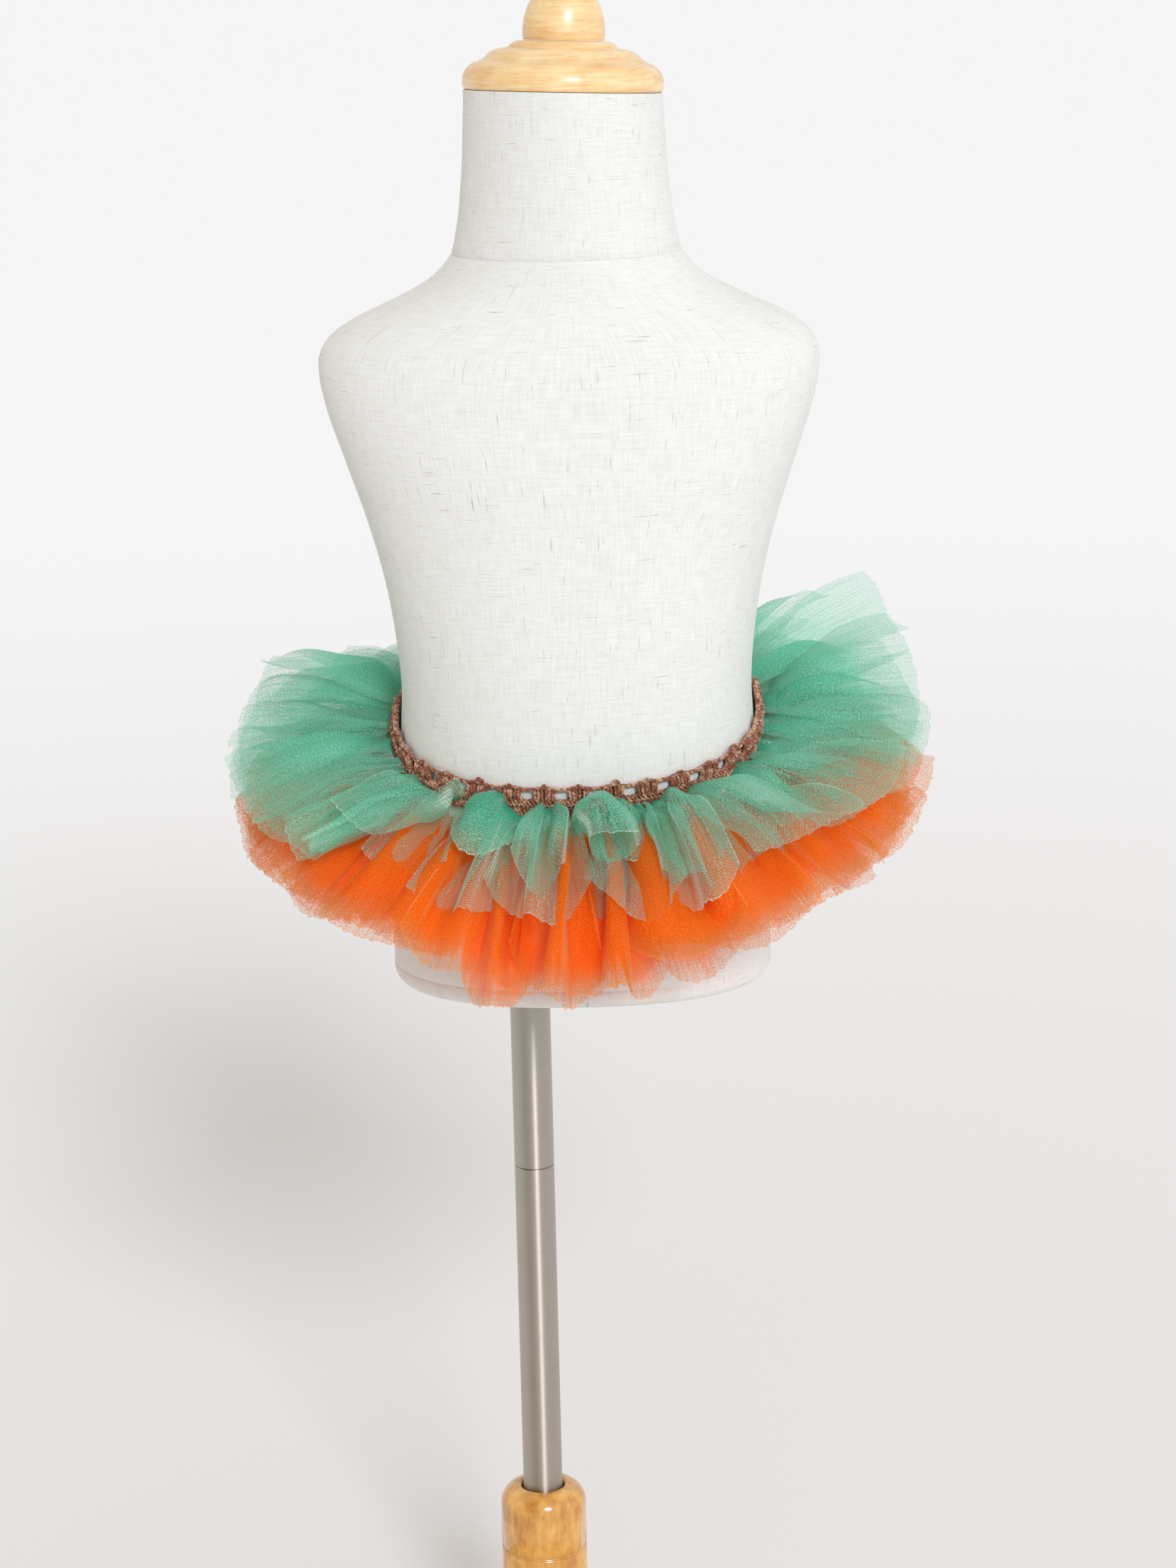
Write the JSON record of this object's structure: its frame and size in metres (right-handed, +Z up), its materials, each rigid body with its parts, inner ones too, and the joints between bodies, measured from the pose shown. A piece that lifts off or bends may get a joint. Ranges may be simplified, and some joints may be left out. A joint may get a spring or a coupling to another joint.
{
  "type": "tutu skirt on a child's dress form",
  "caption": "Short tulle tutu with a green layer over an orange one, looped onto a brown crochet waistband, worn by a linen child's dress form on a steel pole.",
  "frame": {"origin": "centre of the round base's underside, on the pole's axis", "axes": "+Z up along the pole, the form faces -Y, its width lies along X"},
  "size_m": [0.3791, 0.3529, 0.9667],
  "materials": {
    "linen": "off-white linen-look cloth glued smooth over the form, with slubs",
    "varnished_wood": "turned pale hardwood under clear varnish",
    "brushed_steel": "lengthwise-brushed stainless tube",
    "brown_crochet": "matt crocheted elastic yarn",
    "green_tulle": "soft nylon tulle, see-through net",
    "orange_tulle": "soft nylon tulle, see-through net"
  },
  "bodies": {
    "root": {"torso": "linen", "neck_cap": "varnished_wood", "neck_finial": "varnished_wood", "stand_base": "varnished_wood", "stand_hub": "varnished_wood", "pole_lower": "brushed_steel", "pole_upper": "brushed_steel", "pole_flange": "brushed_steel", "waistband_front": "brown_crochet", "waistband_back": "brown_crochet", "green_strip_01": "green_tulle", "green_strip_02": "green_tulle", "green_strip_03": "green_tulle", "green_strip_04": "green_tulle", "green_strip_05": "green_tulle", "green_strip_06": "green_tulle", "green_strip_07": "green_tulle", "green_strip_08": "green_tulle", "green_strip_09": "green_tulle", "green_strip_10": "green_tulle", "green_strip_11": "green_tulle", "green_strip_12": "green_tulle", "green_strip_13": "green_tulle", "green_strip_14": "green_tulle", "green_strip_15": "green_tulle", "green_strip_16": "green_tulle", "green_strip_17": "green_tulle", "green_strip_18": "green_tulle", "green_strip_19": "green_tulle", "green_strip_20": "green_tulle", "green_strip_21": "green_tulle", "green_strip_22": "green_tulle", "green_strip_23": "green_tulle", "green_strip_24": "green_tulle", "orange_strip_01": "orange_tulle", "orange_strip_02": "orange_tulle", "orange_strip_03": "orange_tulle", "orange_strip_04": "orange_tulle", "orange_strip_05": "orange_tulle", "orange_strip_06": "orange_tulle", "orange_strip_07": "orange_tulle", "orange_strip_08": "orange_tulle", "orange_strip_09": "orange_tulle", "orange_strip_10": "orange_tulle", "orange_strip_11": "orange_tulle", "orange_strip_12": "orange_tulle", "orange_strip_13": "orange_tulle", "orange_strip_14": "orange_tulle", "orange_strip_15": "orange_tulle", "orange_strip_16": "orange_tulle", "orange_strip_17": "orange_tulle", "orange_strip_18": "orange_tulle", "orange_strip_19": "orange_tulle", "orange_strip_20": "orange_tulle", "orange_strip_21": "orange_tulle", "orange_strip_22": "orange_tulle", "orange_strip_23": "orange_tulle", "orange_strip_24": "orange_tulle"}
  },
  "joints": []
}
